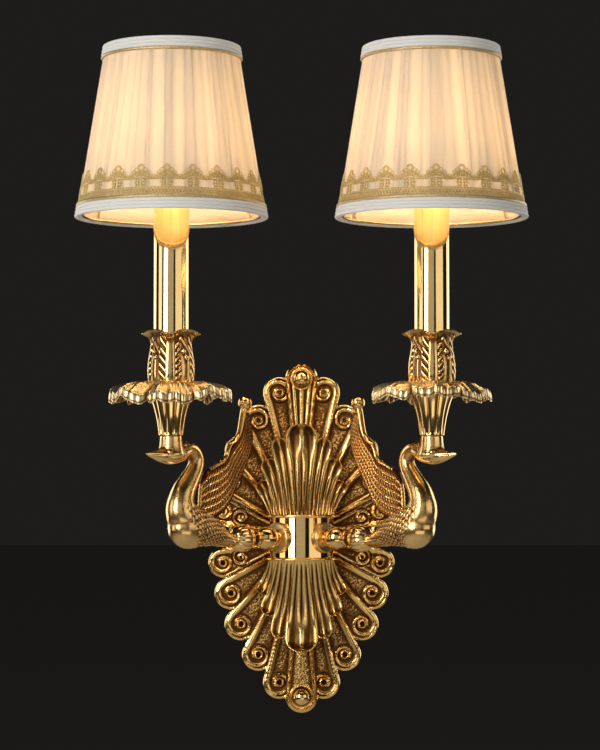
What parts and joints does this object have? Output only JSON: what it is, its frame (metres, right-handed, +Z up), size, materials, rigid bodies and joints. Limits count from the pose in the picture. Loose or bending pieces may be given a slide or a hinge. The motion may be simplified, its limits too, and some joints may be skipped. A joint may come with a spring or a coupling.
{
  "type": "double arm wall sconce",
  "caption": "Wall light with a scalloped brass lozenge plate, swan arms and candle tubes under pleated fabric shades with lace.",
  "frame": {"origin": "middle of the wall strap's back face, on the wall plane, half way between the two wall screws", "axes": "+X to the right seen from the room, +Y into the wall, +Z up; the room is on the -Y side"},
  "size_m": [0.357, 0.1905, 0.5335],
  "materials": {
    "antique_brass": "cast, gilded and aged: bright ridges over a brown patina in the hollows",
    "polished_brass": "mirror polished",
    "plated_steel": "brass plated",
    "nickel": "nickel plated",
    "white_plastic": "moulded",
    "black_plastic": "moulded",
    "clear_glass": "clear",
    "white_glass": "coated glass rods",
    "cream_silk": "pleated, translucent",
    "peach_lining": "smooth, translucent",
    "white_braid": "woven ribbon",
    "gold_thread": "metallic thread"
  },
  "bodies": {
    "fixture": {"wall_plate": "antique_brass", "wall_strap": "plated_steel", "strap_studs": "plated_steel", "top_ball_nut": "polished_brass", "bottom_ball_nut": "polished_brass", "acanthus_leaf_upper": "antique_brass", "acanthus_leaf_lower": "antique_brass", "leaf_screws": "plated_steel", "centre_drum": "polished_brass", "terminal_block": "white_plastic", "right_arm_washer": "polished_brass", "right_arm_ball": "polished_brass", "right_arm_nut": "plated_steel", "right_arm_tie_rod": "plated_steel", "right_swan_arm": "antique_brass", "right_threaded_nipple": "plated_steel", "right_fluted_vase": "polished_brass", "right_drip_pan": "antique_brass", "right_candle_cup": "antique_brass", "right_cup_nut": "plated_steel", "right_candle_tube": "polished_brass", "right_lampholder": "black_plastic", "right_holder_contact": "nickel", "right_bulb_cap": "nickel", "right_bulb_glass": "clear_glass", "right_bulb_filament": "white_glass", "left_arm_washer": "polished_brass", "left_arm_ball": "polished_brass", "left_arm_nut": "plated_steel", "left_arm_tie_rod": "plated_steel", "left_swan_arm": "antique_brass", "left_threaded_nipple": "plated_steel", "left_fluted_vase": "polished_brass", "left_drip_pan": "antique_brass", "left_candle_cup": "antique_brass", "left_cup_nut": "plated_steel", "left_candle_tube": "polished_brass", "left_lampholder": "black_plastic", "left_holder_contact": "nickel", "left_bulb_cap": "nickel", "left_bulb_glass": "clear_glass", "left_bulb_filament": "white_glass"},
    "right_shade": {"right_shade_frame": "plated_steel", "right_shade_lining": "peach_lining", "right_shade_fabric": "cream_silk", "right_shade_lace": "gold_thread", "right_shade_trim_top": "white_braid", "right_shade_trim_bottom": "white_braid", "right_shade_gold_cords": "gold_thread"},
    "left_shade": {"left_shade_frame": "plated_steel", "left_shade_lining": "peach_lining", "left_shade_fabric": "cream_silk", "left_shade_lace": "gold_thread", "left_shade_trim_top": "white_braid", "left_shade_trim_bottom": "white_braid", "left_shade_gold_cords": "gold_thread"}
  },
  "joints": [
    {"name": "right_shade_turn", "type": "hinge", "parent": "fixture", "child": "right_shade", "pos_m": [0.10253, -0.11453, 0.25], "axis": [0, 0, 1], "continuous": true},
    {"name": "left_shade_turn", "type": "hinge", "parent": "fixture", "child": "left_shade", "pos_m": [-0.10253, -0.11453, 0.25], "axis": [0, 0, 1], "continuous": true}
  ]
}
